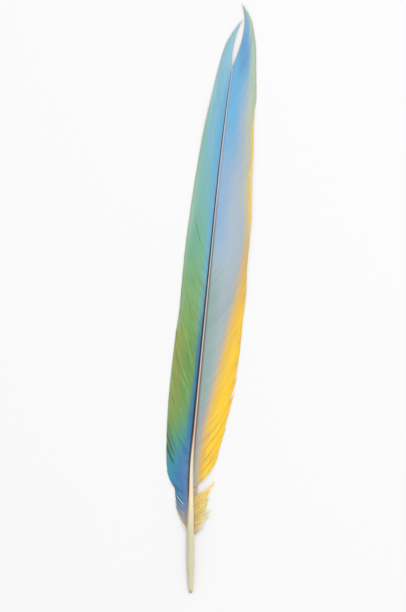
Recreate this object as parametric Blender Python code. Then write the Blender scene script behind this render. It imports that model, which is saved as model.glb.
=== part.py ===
"""One tail feather of a macaw, lying on a surface with its upper side up.

It grew as one piece, so it is one solid: a round quill that runs on as the shaft, and on each side of
the shaft a vane made of overlapping locks of barbs, with a short loose tuft low on the right.
The drawing is in millimetres: y runs from the quill's end (0) to the feather's tip, x is the distance
to the right of the quill's end, and z is the height above the surface. It is shifted at the end, so that
the origin is under the middle of the feather's bounding box.
"""

import math
from collections import namedtuple

import bmesh
import bpy
import numpy as np

MM = 0.001


class Smooth:
    """A smooth curve through (place, value) landmarks, which never overshoots them."""

    def __init__(self, landmarks):
        self.places, self.values = (np.array(column, float) for column in zip(*landmarks))
        self.first, self.last = float(self.places[0]), float(self.places[-1])
        self.steps = np.diff(self.places)
        rises = np.diff(self.values) / self.steps
        turning = rises[:-1] * rises[1:] <= 0
        one, other = np.where(turning, 1.0, rises[:-1]), np.where(turning, 1.0, rises[1:])
        inner = np.where(turning, 0.0, 2 / (1 / one + 1 / other))
        self.slopes = np.concatenate([rises[:1], inner, rises[-1:]])

    def __call__(self, place):
        place = np.clip(place, self.first, self.last)
        i = np.clip(np.searchsorted(self.places, place, side="right") - 1, 0, len(self.steps) - 1)
        u = (place - self.places[i]) / self.steps[i]
        ends = (1 + 2 * u) * (1 - u) ** 2 * self.values[i] + u * u * (3 - 2 * u) * self.values[i + 1]
        bend = (1 - u) * self.slopes[i] - u * self.slopes[i + 1]
        return ends + u * (1 - u) * self.steps[i] * bend


# Shaft
SHAFT_END = 359.0
shaft_x = Smooth([
    (0, 0.0), (36, -2.9), (76, -6.0), (96, -6.6), (124, -6.3), (172, -5.5),
    (230, -4.5), (287, -3.3), (326, -1.8), (SHAFT_END, 0.0), (404, 2.8),
])
shaft_width = Smooth([
    (0, 1.6), (1.5, 2.4), (5, 3.2), (10, 3.9), (22, 4.6), (40, 4.6), (64, 4.1), (96, 3.3),
    (144, 2.7), (200, 2.3), (268, 1.8), (335, 1.35), (352, 1.05), (SHAFT_END, 0.7),
])
shaft_height = Smooth([
    (0, 1.4), (1.5, 2.2), (5, 3.0), (10, 3.6), (22, 4.4), (40, 4.5), (64, 4.2), (96, 3.7),
    (144, 3.1), (200, 2.6), (268, 2.0), (335, 1.35), (352, 0.95), (SHAFT_END, 0.6),
])
# How high the shaft's underside is above the surface: the quill lies flat, and the shaft arches
underside = Smooth([
    (0, 0.7), (1.5, 0.4), (5, 0.1), (9, 0.0), (62, 0.0), (110, 1.5), (170, 2.9), (230, 3.0),
    (290, 2.2), (SHAFT_END, 0.9), (404, 0.5),
])
QUILL_RINGS = [0, 0.5, 1.5, 3, 5, 9, 14, 22, 32]
TOP_POINTS, UNDER_POINTS = 5, 4
# Places in a ring of the points that the vanes join
RIGHT_TOP, LEFT_TOP = 0, TOP_POINTS + 1
LEFT_UNDER, RIGHT_UNDER = TOP_POINTS + 2, TOP_POINTS + UNDER_POINTS + 3

# The vanes' sheets: where they join, as a share of the shaft's height, and their thickness
JOIN_LEVEL = 0.62
MOST_JOIN_SHARE = 0.6
ROOT_THICKNESS, TIP_THICKNESS = 0.8, 0.36
ROOT_SWELL = 0.1
# Where a sheet's underside comes nearer to the surface than this, it lies flat on it
LIES_WITHIN = 0.25
# Each vane curves down from the shaft to its margin, which lies at this height
left_margin_height = Smooth([
    (38, 0.9), (75, 0.3), (150, 0.25), (280, 0.3), (330, 0.9), (366, 0.3), (393, 0.9),
])
right_margin_height = Smooth([
    (50, 0.8), (98, 0.3), (170, 0.25), (230, 0.8), (290, 0.9), (350, 0.25), (388, 0.4), (404, 1.6),
])
CAMBER_POWER = 1.6
LEAST_CAMBER_WIDTH = 5.0

# Locks of barbs: each rises and juts out a little over the one below, and a small notch parts the two
LOCKS_START = 38.0
LOCK_PITCH = 10.0
STEPS_A_LOCK = 3
LOCK_RISE = 0.3
LOCK_RISE_RATE = 3.0
# A share of the barb's length
LOCK_JUT = 0.018
LOCK_JUT_POWER = 4
NOTCH_DEPTH, NOTCH_GAP = 0.09, 0.4
ALONG_BARB = [0, 0.1, 0.25, 0.42, 0.6, 0.77, 0.91, 1]
SPLIT_FADE = 8.0

# Steps for taking directions, along the shaft, the margin and a barb
SHAFT_STEP, MARGIN_STEP, BARB_STEP = 1.0, 6.0, 0.01
# How far off a cut its two sides are worked out
BESIDE_CUT = 1e-6

# root: where on the shaft a split starts; depth: its share of a barb's length; gap: its width at the margin
Split = namedtuple("Split", "root depth gap")
# roots: the stretch of shaft that a vane grows from; margin: its outline; reach: how much further up the
# barb ends than it starts; leave, arrive: its angles in degrees to the shaft and to the margin
Vane = namedtuple("Vane", "side roots margin margin_height reach leave arrive splits")

LEFT_VANE = Vane(
    side=-1,
    roots=(45, SHAFT_END),
    margin=Smooth([
        (58, -14.9), (66, -15.9), (70, -16.6), (75.5, -20.6), (82, -22.8), (95, -24.2), (115, -25.4),
        (132, -25.6), (150, -25.2), (177, -24.1), (190, -23.1), (228, -22.5), (260, -20.9), (293, -18.3),
        (318, -15.6), (343, -11.8), (358, -9.5), (373.5, -6.0), (381.5, -2.4), (387.7, 1.3), (393, 5.2),
    ]),
    margin_height=left_margin_height,
    reach=Smooth([
        (45, 14.2), (50, 12.5), (57, 10), (64, 12.7), (70, 17), (75, 23), (79, 27.5), (84, 32),
        (90, 36), (110, 40), (150, 45), (220, 48), (300, 48), (330, 44.5), (SHAFT_END, 34),
    ]),
    leave=Smooth([
        (45, 41), (57, 46), (64, 54), (75, 48), (90, 43), (120, 36), (200, 30), (300, 26), (340, 19),
        (SHAFT_END, 9),
    ]),
    arrive=10,
    splits=[Split(62.5, 0.5, 0.8), Split(76, 0.4, 0.4), Split(80.3, 0.5, 0.4)],
)
RIGHT_VANE = Vane(
    side=1,
    roots=(70, SHAFT_END),
    margin=Smooth([
        (88, 9.4), (92.5, 10.8), (98, 11.5), (107, 13.4), (115, 14.8), (132, 17.5), (148, 19.5),
        (165, 20.4), (190, 20.9), (206, 21.6), (222, 20.9), (255, 21.2), (280, 19.8), (304, 18.9),
        (328, 17.6), (337, 18.3), (350, 17.3), (361, 16.3), (372, 15.4), (378.5, 14.3), (385.5, 12.7),
        (392, 10.7), (396, 8.5), (399.5, 6.2), (403.5, 3.0),
    ]),
    margin_height=right_margin_height,
    reach=Smooth([
        (70, 15.5), (76, 24.5), (84, 31), (90, 34), (120, 40), (160, 47), (200, 50), (250, 50),
        (300, 48), (330, 45.5), (SHAFT_END, 44.5),
    ]),
    leave=Smooth([(70, 58), (90, 52), (120, 48), (200, 42), (300, 38), (340, 27), (SHAFT_END, 13)]),
    arrive=10,
    splits=[Split(84, 0.1, 0.6), Split(102, 0.2, 1.2), Split(112, 0.12, 0.9), Split(283, 0.14, 0.7)],
)
TUFT = Vane(
    side=1,
    roots=(41, 65),
    margin=Smooth([(43, 4.0), (48, 5.6), (54, 8.2), (60, 6.0), (66, 7.0), (76, 9.4)]),
    margin_height=right_margin_height,
    reach=Smooth([(41, 6.5), (45, 8.4), (50, 9), (58, 9.5), (65, 11)]),
    leave=Smooth([(41, 60), (65, 66)]),
    arrive=24,
    splits=[Split(48, 0.5, 0.9), Split(58, 0.5, 0.9)],
)
VANES = (LEFT_VANE, RIGHT_VANE, TUFT)


def join_height(y):
    """Height of the vanes' middle layer where they meet the shaft, and of the shaft's line past its end."""
    return underside(y) + JOIN_LEVEL * shaft_height(y)


def root_thickness(y):
    return min(ROOT_THICKNESS, MOST_JOIN_SHARE * float(shaft_height(y)))


def direction(degrees):
    """The plan direction that many degrees clockwise from straight up the feather."""
    return np.array([math.sin(math.radians(degrees)), math.cos(math.radians(degrees))])


def turn_of(curve, below, above):
    """How many degrees clockwise a curve such as the shaft's line turns between two places."""
    return math.degrees(math.atan2(curve(above) - curve(below), above - below))


def barb_curve(vane, root):
    """The four control points, in plan, of the barb that leaves the shaft at this y."""
    tip_y = root + float(vane.reach(root))
    start = np.array([shaft_x(root) + vane.side * shaft_width(root) / 2, root], float)
    end = np.array([vane.margin(tip_y), tip_y], float)
    below = max(tip_y - MARGIN_STEP, vane.margin.first)
    above = min(tip_y + MARGIN_STEP, vane.margin.last)
    leaving = turn_of(shaft_x, root - SHAFT_STEP, root + SHAFT_STEP) + vane.side * float(vane.leave(root))
    arriving = turn_of(vane.margin, below, above) + vane.side * vane.arrive
    third = np.linalg.norm(end - start) / 3
    return start, start + third * direction(leaving), end - third * direction(arriving), end


def point_on(curve, t):
    a, b, c, d = curve
    return (1 - t) ** 3 * a + 3 * t * (1 - t) ** 2 * b + 3 * t * t * (1 - t) * c + t**3 * d


def opened(root, t, splits):
    """How far the splits push this point of a barb aside, towards the feather's tip."""
    push = 0.0
    for split in splits:
        open_share = max(0.0, (t - 1 + split.depth) / split.depth)
        away = root - split.root
        push += math.copysign(split.gap / 2, away) * math.exp(-abs(away) / SPLIT_FADE) * open_share
    return push


def vane_height(vane, x, y):
    """Height of a vane's middle layer: joined high on the shaft, and curving down to its margin."""
    width = max(LEAST_CAMBER_WIDTH, abs(float(vane.margin(y) - shaft_x(y))))
    share = min(1.0, abs(x - float(shaft_x(y))) / width)
    top, low = float(join_height(y)), float(vane.margin_height(y))
    return top + (low - top) * share**CAMBER_POWER


def barb_points(vane, root, splits, lock_phase):
    """The middle layer's points along the barb at this root, from the shaft to the margin."""
    curve = barb_curve(vane, root)
    lift = lock_phase / STEPS_A_LOCK - 0.5
    full_jut = lift * LOCK_JUT * np.linalg.norm(curve[-1] - curve[0])
    points = []
    for t in ALONG_BARB:
        x, y = point_on(curve, t)
        ahead = point_on(curve, min(1, t + BARB_STEP)) - point_on(curve, max(0, t - BARB_STEP))
        ahead /= np.linalg.norm(ahead)
        push = opened(root, t, splits)
        jut = full_jut * t**LOCK_JUT_POWER
        x += -vane.side * abs(ahead[1]) * push + ahead[0] * jut
        y += abs(ahead[0]) * push + ahead[1] * jut
        rise = lift * LOCK_RISE * min(1.0, LOCK_RISE_RATE * t)
        points.append((x, y, vane_height(vane, x, y) + rise))
    return points


def shaft_ring(y):
    """The shaft's outline at this y: right side lower and upper join points, over the top to the left
    ones, and back underneath, where the middle edge is level."""
    middle, half_wide, half_high = float(shaft_x(y)), float(shaft_width(y)) / 2, float(shaft_height(y)) / 2
    thick = root_thickness(y)
    raised = (2 * JOIN_LEVEL - 1) * half_high
    upper = math.asin((raised + thick / 2) / half_high)
    lower = math.asin((raised - thick / 2) / half_high)
    over = np.linspace(upper, math.pi - upper, TOP_POINTS + 2)
    under = np.linspace(math.pi - lower, 2 * math.pi + lower, UNDER_POINTS + 2)
    flat = half_high * -math.sin(under[len(under) // 2])
    centre = float(underside(y)) + flat
    return [
        (middle + half_wide * math.cos(angle), y, centre + half_high * math.sin(angle))
        for angle in (*over, *under)
    ]


class Body:
    """Points and faces of one closed surface."""

    def __init__(self):
        self.points, self.faces = [], []

    def add_points(self, points):
        start = len(self.points)
        self.points.extend(points)
        return list(range(start, start + len(points)))

    def add_strip(self, one, other):
        """Four-sided faces between two rows of points."""
        for a, b, c, d in zip(one, one[1:], other[1:], other):
            self.faces.append((a, b, c, d))

    def add_sheet(self, one, other):
        """Triangles between two rows of points, cut along the diagonal that keeps both of a pair larger."""
        for a, b, c, d in zip(one, one[1:], other[1:], other):
            pairs = ((a, b, c), (a, c, d)), ((a, b, d), (b, c, d))
            self.faces.extend(max(pairs, key=self.smaller_area))

    def smaller_area(self, triangles):
        """The smaller of the triangles' areas in plan, below zero where one is folded over the others."""
        areas = []
        for triangle in triangles:
            (ax, ay, _), (bx, by, _), (cx, cy, _) = (self.points[k] for k in triangle)
            areas.append(((bx - ax) * (cy - ay) - (by - ay) * (cx - ax)) / 2)
        return min(np.array(areas) * np.sign(sum(areas)))


def stations():
    """The y of every ring of the shaft. Past the quill they come three to a lock."""
    count = STEPS_A_LOCK * round((SHAFT_END - LOCKS_START) / LOCK_PITCH)
    return QUILL_RINGS + list(np.linspace(LOCKS_START, SHAFT_END, count + 1))


def nearest(places, wanted):
    return min(range(len(places)), key=lambda i: abs(places[i] - wanted))


def add_shaft(body, places, spans):
    """The quill and shaft, left open along the sides where the vanes join."""
    rings = [body.add_points(shaft_ring(y)) for y in places]
    gaps = {1: (RIGHT_UNDER, RIGHT_TOP), -1: (LEFT_TOP, LEFT_UNDER)}
    for i, (ring, following) in enumerate(zip(rings, rings[1:])):
        for k, after in enumerate([*range(1, len(ring)), 0]):
            joined = any(gaps[vane.side] == (k, after) and i in span for vane, span in zip(VANES, spans))
            if not joined:
                body.faces.append((ring[k], ring[after], following[after], following[k]))
    body.faces.append(tuple(rings[0]))
    body.faces.append(tuple(rings[-1]))
    return rings


def cuts_of(vane, places, span):
    """Where a vane is cut: its splits, and a notch between each two locks that no split parts."""
    cuts = {nearest(places, split.root): split for split in vane.splits}
    for i in span[::STEPS_A_LOCK]:
        cuts.setdefault(i, Split(places[i], NOTCH_DEPTH, NOTCH_GAP))
    return {i: split._replace(root=places[i]) for i, split in cuts.items() if i in span[1:]}


def add_vane(body, vane, places, rings, span):
    """One vane as a thin closed sheet that grows from the shaft's side, cut at its splits and notches."""
    top_point, under_point = (RIGHT_TOP, RIGHT_UNDER) if vane.side > 0 else (LEFT_TOP, LEFT_UNDER)
    cuts = cuts_of(vane, places, span)

    def add_row(i, root, lock_phase, shared=None):
        """The upper and under layer along one barb, sharing points with the row that it splits from."""
        layers = [[rings[i][top_point]], [rings[i][under_point]]]
        points = barb_points(vane, root, cuts.values(), lock_phase)
        kept = sum(t <= 1 - cuts[i].depth for t in ALONG_BARB) if i in cuts else len(points)
        for j in range(1, len(points)):
            x, y, z = points[j]
            thick = ROOT_THICKNESS + (TIP_THICKNESS - ROOT_THICKNESS) * ALONG_BARB[j]
            thick = min(thick, root_thickness(places[i]) + ROOT_SWELL)
            top, bottom = z + thick / 2, z - thick / 2
            if bottom < LIES_WITHIN:
                bottom = 0.0
            for layer, height, old in zip(layers, (top, bottom), shared or (None, None)):
                if old and j < kept:
                    layer.append(old[j])
                else:
                    layer.extend(body.add_points([(x, y, height)]))
        return layers, kept - 1

    rows_below, rows_above = {}, {}
    for i in [*span, span[-1] + 1]:
        phase = (i - span[0]) % STEPS_A_LOCK
        lock_ends = phase == 0 and i > span[0]
        lower, fork = add_row(i, places[i] - BESIDE_CUT, STEPS_A_LOCK if lock_ends else phase)
        rows_below[i] = rows_above[i] = lower
        if i in cuts:
            upper, fork = add_row(i, places[i] + BESIDE_CUT, 0, shared=lower)
            rows_above[i] = upper
            body.add_strip(lower[0][fork:], lower[1][fork:])
            body.add_strip(upper[0][fork:], upper[1][fork:])
    for i in span:
        one, other = rows_above[i], rows_below[i + 1]
        body.add_sheet(one[0], other[0])
        body.add_sheet(one[1], other[1])
        body.faces.append((one[0][-1], one[1][-1], other[1][-1], other[0][-1]))
    for end in (rows_above[span[0]], rows_below[span[-1] + 1]):
        body.add_strip(end[0], end[1])


def feather_material():
    material = bpy.data.materials.new("feather")
    material.use_nodes = True
    shader = material.node_tree.nodes["Principled BSDF"]
    shader.inputs["Base Color"].default_value = (0.22, 0.42, 0.45, 1)
    shader.inputs["Roughness"].default_value = 0.55
    shader.inputs["Metallic"].default_value = 0.0
    return material


def main():
    for obj in list(bpy.data.objects):
        bpy.data.objects.remove(obj)
    places = stations()
    spans = [range(nearest(places, v.roots[0]), nearest(places, v.roots[1])) for v in VANES]
    body = Body()
    rings = add_shaft(body, places, spans)
    for vane, span in zip(VANES, spans):
        add_vane(body, vane, places, rings, span)
    corners = np.array(body.points)
    low, high = corners.min(0), corners.max(0)
    corners -= [(low[0] + high[0]) / 2, (low[1] + high[1]) / 2, low[2]]
    mesh = bpy.data.meshes.new("feather")
    mesh.from_pydata((corners * MM).tolist(), [], body.faces)
    shape = bmesh.new()
    shape.from_mesh(mesh)
    bmesh.ops.recalc_face_normals(shape, faces=shape.faces)
    shape.to_mesh(mesh)
    shape.free()
    mesh.materials.append(feather_material())
    feather = bpy.data.objects.new("feather", mesh)
    bpy.context.scene.collection.objects.link(feather)


main()
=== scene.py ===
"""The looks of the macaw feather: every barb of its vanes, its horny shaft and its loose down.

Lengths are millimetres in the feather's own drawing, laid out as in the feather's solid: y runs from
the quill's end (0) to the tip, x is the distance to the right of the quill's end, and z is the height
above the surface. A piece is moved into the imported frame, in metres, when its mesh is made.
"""
import math
from collections import namedtuple

import bmesh
import bpy
import numpy as np
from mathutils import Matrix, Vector


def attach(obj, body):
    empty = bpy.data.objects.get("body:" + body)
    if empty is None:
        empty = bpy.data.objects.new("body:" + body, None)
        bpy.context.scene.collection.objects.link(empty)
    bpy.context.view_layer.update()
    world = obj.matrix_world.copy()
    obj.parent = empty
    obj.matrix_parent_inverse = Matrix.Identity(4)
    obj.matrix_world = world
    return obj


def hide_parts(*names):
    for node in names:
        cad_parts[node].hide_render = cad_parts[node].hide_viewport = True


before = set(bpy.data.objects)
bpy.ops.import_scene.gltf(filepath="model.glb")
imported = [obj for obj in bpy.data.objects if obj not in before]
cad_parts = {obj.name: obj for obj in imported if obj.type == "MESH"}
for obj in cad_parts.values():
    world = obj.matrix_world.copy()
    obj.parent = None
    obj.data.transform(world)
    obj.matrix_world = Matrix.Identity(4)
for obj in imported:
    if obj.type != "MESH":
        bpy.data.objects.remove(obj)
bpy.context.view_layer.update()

MM = 0.001
NODE = "feather"
BODY = "root"
SEED = 7


class Smooth:
    """A smooth curve through (place, value) landmarks, which never overshoots them."""

    def __init__(self, landmarks):
        self.places, self.values = (np.array(column, float) for column in zip(*landmarks))
        self.first, self.last = float(self.places[0]), float(self.places[-1])
        self.steps = np.diff(self.places)
        rises = np.diff(self.values) / self.steps
        turning = rises[:-1] * rises[1:] <= 0
        one, other = np.where(turning, 1.0, rises[:-1]), np.where(turning, 1.0, rises[1:])
        inner = np.where(turning, 0.0, 2 / (1 / one + 1 / other))
        self.slopes = np.concatenate([rises[:1], inner, rises[-1:]])

    def __call__(self, place):
        place = np.clip(place, self.first, self.last)
        i = np.clip(np.searchsorted(self.places, place, side="right") - 1, 0, len(self.steps) - 1)
        u = (place - self.places[i]) / self.steps[i]
        ends = (1 + 2 * u) * (1 - u) ** 2 * self.values[i] + u * u * (3 - 2 * u) * self.values[i + 1]
        bend = (1 - u) * self.slopes[i] - u * self.slopes[i + 1]
        return ends + u * (1 - u) * self.steps[i] * bend


# Shaft
SHAFT_END = 359.0
shaft_x = Smooth([
    (0, 0.0), (36, -2.9), (76, -6.0), (96, -6.6), (124, -6.3), (172, -5.5),
    (230, -4.5), (287, -3.3), (326, -1.8), (SHAFT_END, 0.0), (404, 2.8),
])
shaft_width = Smooth([
    (0, 1.6), (1.5, 2.4), (5, 3.2), (10, 3.9), (22, 4.6), (40, 4.6), (64, 4.1), (96, 3.3),
    (144, 2.7), (200, 2.3), (268, 1.8), (335, 1.35), (352, 1.05), (SHAFT_END, 0.7),
])
shaft_height = Smooth([
    (0, 1.4), (1.5, 2.2), (5, 3.0), (10, 3.6), (22, 4.4), (40, 4.5), (64, 4.2), (96, 3.7),
    (144, 3.1), (200, 2.6), (268, 2.0), (335, 1.35), (352, 0.95), (SHAFT_END, 0.6),
])
underside = Smooth([
    (0, 0.7), (1.5, 0.4), (5, 0.1), (9, 0.0), (62, 0.0), (110, 1.5), (170, 2.9), (230, 3.0),
    (290, 2.2), (SHAFT_END, 0.9), (404, 0.5),
])

# Vanes
JOIN_LEVEL = 0.62
left_margin_height = Smooth([
    (38, 0.9), (75, 0.3), (150, 0.25), (280, 0.3), (330, 0.9), (366, 0.3), (393, 0.9),
])
right_margin_height = Smooth([
    (50, 0.8), (98, 0.3), (170, 0.25), (230, 0.8), (290, 0.9), (350, 0.25), (388, 0.4), (404, 1.6),
])
CAMBER_POWER = 1.6
LEAST_CAMBER_WIDTH = 5.0
# How far to each side a direction is measured, the last in shares of a barb
SHAFT_STEP, MARGIN_STEP, BARB_STEP = 1.0, 6.0, 0.01

# The barbs: 18 to a lock, and each lock rises and juts out a little over the one below
FIRST_ROOT = 38.0
LOCKS = 32
LOCK_PITCH = (SHAFT_END - FIRST_ROOT) / LOCKS
BARBS_A_LOCK = 18
BARB_PITCH = LOCK_PITCH / BARBS_A_LOCK
THIRD_OF_LOCK = LOCK_PITCH / 3
BESIDE_CUT = 1e-6

# root: where on the shaft; depth: share of the barb's length; gap: width at the margin; fade: how far along
# the shaft the barbs are pushed aside
Split = namedtuple("Split", "root depth gap fade", defaults=(5.0,))
# A dark or light line along the barbs at this root, from start to end along them. Dark is above zero. Along
# a split the dark is painted shadow in the slit.
Line = namedtuple("Line", "root start end width darkness")
# reach: how far up the feather a barb's tip is from its root; leave, arrive: its angles to the shaft and to
# the margin; jut: how far a lock's highest barb stands out past its lowest
Vane = namedtuple("Vane", "side roots margin margin_height reach leave arrive splits lines jut")

LEFT_VANE = Vane(
    side=-1,
    roots=(FIRST_ROOT + 2 * THIRD_OF_LOCK, SHAFT_END),
    margin=Smooth([
        (58, -14.9), (66, -15.9), (70, -16.6), (75.5, -20.6), (82, -22.8), (95, -24.2), (115, -25.4),
        (132, -25.6), (150, -25.2), (177, -24.1), (190, -23.1), (228, -22.5), (260, -20.9), (293, -18.3),
        (318, -15.6), (343, -11.8), (358, -9.5), (373.5, -6.0), (381.5, -2.4), (387.7, 1.3), (393, 5.2),
    ]),
    margin_height=left_margin_height,
    reach=Smooth([
        (45, 14.2), (50, 12.5), (57, 10), (64, 12.7), (70, 17), (75, 23), (79, 27.5), (84, 32),
        (90, 36), (110, 40), (150, 45), (220, 48), (300, 48), (330, 44.5), (SHAFT_END, 34),
    ]),
    leave=Smooth([
        (45, 41), (57, 46), (64, 54), (75, 48), (90, 43), (120, 36), (200, 30), (300, 26), (340, 19),
        (SHAFT_END, 9),
    ]),
    arrive=10,
    splits=[
        Split(46.5, 0.5, 0.5, 1.5), Split(49, 0.35, 0.6, 1.5), Split(52, 0.35, 0.5, 1.5),
        Split(62.5, 0.5, 0.8, 2.5), Split(76, 0.4, 0.15), Split(80.3, 0.5, 0.15),
    ],
    lines=[
        Line(76, 0.48, 1.05, 0.6, 1.0), Line(80.3, 0.46, 1.05, 0.6, 1.0), Line(62.5, 0.45, 1.05, 0.8, 0.9),
        Line(65.5, 0.15, 0.42, 0.4, 0.6), Line(56.4, 0.4, 1.0, 0.5, 0.9),
        Line(57.5, 0.22, 0.85, 0.35, -0.85), Line(58.8, 0.22, 0.8, 0.5, 0.9),
        Line(60.4, 0.3, 0.8, 0.3, -0.35), Line(54.8, 0.3, 0.8, 0.4, -0.3), Line(224, 0.3, 0.64, 0.5, 0.75),
        Line(84, 0.5, 0.95, 0.5, 0.3), Line(104, 0.6, 0.8, 0.5, 0.5), Line(49, 0.25, 1.0, 0.4, 0.4),
        Line(52, 0.25, 0.95, 0.4, 0.35), Line(50.4, 0.2, 0.9, 0.4, -0.4), Line(47.2, 0.2, 0.9, 0.35, -0.3),
    ],
    jut=0.4,
)
RIGHT_VANE = Vane(
    side=1,
    roots=(FIRST_ROOT + 10 * THIRD_OF_LOCK, SHAFT_END),
    margin=Smooth([
        (88, 9.4), (92.5, 10.8), (98, 11.5), (107, 13.4), (115, 14.8), (132, 17.5), (148, 19.5),
        (165, 20.4), (190, 20.9), (206, 21.6), (222, 20.9), (255, 21.2), (280, 19.8), (304, 18.9),
        (328, 17.6), (337, 18.3), (350, 17.3), (361, 16.3), (372, 15.4), (378.5, 14.3), (385.5, 12.7),
        (392, 10.7), (396, 8.5), (399.5, 6.2), (403.5, 3.0),
    ]),
    margin_height=right_margin_height,
    reach=Smooth([
        (70, 15.5), (76, 24.5), (84, 31), (90, 34), (120, 40), (160, 47), (200, 50), (250, 50),
        (300, 48), (330, 45.5), (SHAFT_END, 44.5),
    ]),
    leave=Smooth([(70, 58), (90, 52), (120, 48), (200, 42), (300, 38), (340, 27), (SHAFT_END, 13)]),
    arrive=10,
    splits=[Split(84, 0.1, 0.8), Split(102, 0.2, 1.6), Split(112, 0.12, 1.2), Split(283, 0.14, 0.9)],
    lines=[
        Line(178, 0.1, 0.6, 0.6, 0.16), Line(191, 0.3, 0.9, 0.7, 0.1), Line(78, 0.2, 0.75, 0.6, 0.28),
        Line(84, 0.2, 0.85, 0.5, 0.3), Line(92, 0.2, 0.9, 0.6, 0.25), Line(99, 0.3, 0.9, 0.5, 0.2),
    ],
    jut=0.5,
)
TUFT = Vane(
    side=1,
    roots=(FIRST_ROOT + THIRD_OF_LOCK, 65),
    margin=Smooth([(43, 4.0), (48, 5.6), (54, 8.2), (60, 6.0), (66, 7.0), (76, 9.4)]),
    margin_height=right_margin_height,
    reach=Smooth([(41, 6.5), (45, 8.4), (50, 9), (58, 9.5), (65, 11)]),
    leave=Smooth([(41, 60), (65, 66)]),
    arrive=24,
    splits=[],
    lines=[],
    jut=0.0,
)

# Form of a barb in a vane: shares of its length, and the heights of its ridge, edges and keel
ALONG_BARB = np.array([
    0, 0.03, 0.07, 0.12, 0.18, 0.25, 0.33, 0.41, 0.49, 0.57, 0.65, 0.72, 0.79, 0.85, 0.9, 0.94, 0.97, 1.0,
])
RIDGE_HEIGHT, TIP_RIDGE_HEIGHT = 0.1, 0.03
KEEL_DEPTH, TIP_KEEL_DEPTH = 0.34, 0.08
EDGE_STEP = 0.03
EDGE_OVERLAP = 0.12
TIP_TAPER_START, TIP_WIDTH = 0.94, 0.5
TIP_JITTER = 0.008
LOCK_RISE = 0.16
LOCK_RISE_RATE = 3.0
LOCK_JUT_POWER = 4
RUFFLE, RUFFLE_RISE_RATE = 0.018, 4
LEAST_VANE_HEIGHT = 0.02
LINE_SHARPNESS = 1.6
SINK = 0.35
# Small splits: how far apart they are, and the ranges of what is random
SMALL_SPLITS_EVERY, SMALL_SPLITS_SPREAD = 7.0, (0.4, 1.6)
SMALL_SPLIT_DEPTH, SMALL_SPLIT_GAP, SMALL_SPLIT_FADE = (0.03, 0.12), (0.1, 0.35), 1.2


def join_height(y):
    """Height of the vanes' middle layer where they meet the shaft, and of the shaft's line past its end."""
    return underside(y) + JOIN_LEVEL * shaft_height(y)


def directions(degrees):
    """Plan directions that many degrees clockwise from straight up the feather, one a row."""
    turned = np.radians(degrees)
    return np.stack([np.sin(turned), np.cos(turned)], axis=-1)


def turn_of(curve, below, above):
    """A curve's direction between two places, in degrees clockwise from straight up."""
    return np.degrees(np.arctan2(curve(above) - curve(below), above - below))


def barb_curves(vane, roots):
    """The control points, in plan, of the barbs that leave the shaft at these roots."""
    tips = roots + vane.reach(roots)
    starts = np.stack([shaft_x(roots) + vane.side * shaft_width(roots) / 2, roots], axis=-1)
    ends = np.stack([vane.margin(tips), tips], axis=-1)
    below = np.maximum(tips - MARGIN_STEP, vane.margin.first)
    above = np.minimum(tips + MARGIN_STEP, vane.margin.last)
    leaving = turn_of(shaft_x, roots - SHAFT_STEP, roots + SHAFT_STEP) + vane.side * vane.leave(roots)
    arriving = turn_of(vane.margin, below, above) + vane.side * vane.arrive
    third = np.linalg.norm(ends - starts, axis=-1, keepdims=True) / 3
    return starts, starts + third * directions(leaving), ends - third * directions(arriving), ends


def points_on(curves, t):
    """Points at these shares along each curve: t has one row a curve, or one row for all."""
    a, b, c, d = (points[:, None, :] for points in curves)
    t = t[..., None] if t.ndim == 2 else t[None, :, None]
    return (1 - t) ** 3 * a + 3 * t * (1 - t) ** 2 * b + 3 * t * t * (1 - t) * c + t**3 * d


def opened(roots, t, splits):
    """How far the splits push each point aside, towards the feather's tip."""
    push = np.zeros(np.broadcast_shapes(roots[:, None].shape, t.shape))
    for split in splits:
        share = np.clip((t - 1 + split.depth) / split.depth, 0, None)
        away = roots[:, None] - split.root
        push += np.copysign(split.gap / 2, away) * np.exp(-np.abs(away) / split.fade) * share
    return push


def vane_height(vane, x, y):
    """Height of a vane's middle layer: joined high on the shaft, and curving down to its margin."""
    width = np.maximum(LEAST_CAMBER_WIDTH, np.abs(vane.margin(y) - shaft_x(y)))
    share = np.minimum(1.0, np.abs(x - shaft_x(y)) / width)
    return join_height(y) + (vane.margin_height(y) - join_height(y)) * share**CAMBER_POWER


def barb_rows(vane, roots, t, splits):
    """The middle layer's points along the barbs at these roots: one row a barb, from shaft to margin."""
    curves = barb_curves(vane, roots)
    points = points_on(curves, t)
    ahead = points_on(curves, t + BARB_STEP) - points_on(curves, t - BARB_STEP)
    ahead /= np.linalg.norm(ahead, axis=-1, keepdims=True)
    push = opened(roots, t, splits)
    lift = ((roots - vane.roots[0]) / LOCK_PITCH % 1.0 - 0.5)[:, None]
    jut = lift * vane.jut * np.clip(t, 0, None) ** LOCK_JUT_POWER
    x = points[..., 0] - vane.side * np.abs(ahead[..., 1]) * push + ahead[..., 0] * jut
    y = points[..., 1] + np.abs(ahead[..., 0]) * push + ahead[..., 1] * jut
    rise = lift * LOCK_RISE * np.minimum(1.0, LOCK_RISE_RATE * t)
    return np.stack([x, y, vane_height(vane, x, y) + rise], axis=-1)


def line_darkness(vane, roots, t):
    """How dark, or below zero how light, each point is from the lines that run along the barbs. Along a
    split the dark is painted shadow in the slit.
    """
    dark = np.zeros(np.broadcast_shapes(roots[:, None].shape, t.shape))
    for line in vane.lines:
        near = np.exp(-(((roots[:, None] - line.root) / line.width) ** 2))
        middle, half = (line.start + line.end) / 2, (line.end - line.start) / 2
        within = np.clip(LINE_SHARPNESS * (1 - np.abs((t - middle) / half) ** 3), 0, 1)
        dark += line.darkness * near * within
    return dark


def placed(name, data):
    """A new object of this data, in the scene."""
    made = bpy.data.objects.new(name, data)
    bpy.context.scene.collection.objects.link(made)
    return made


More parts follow.
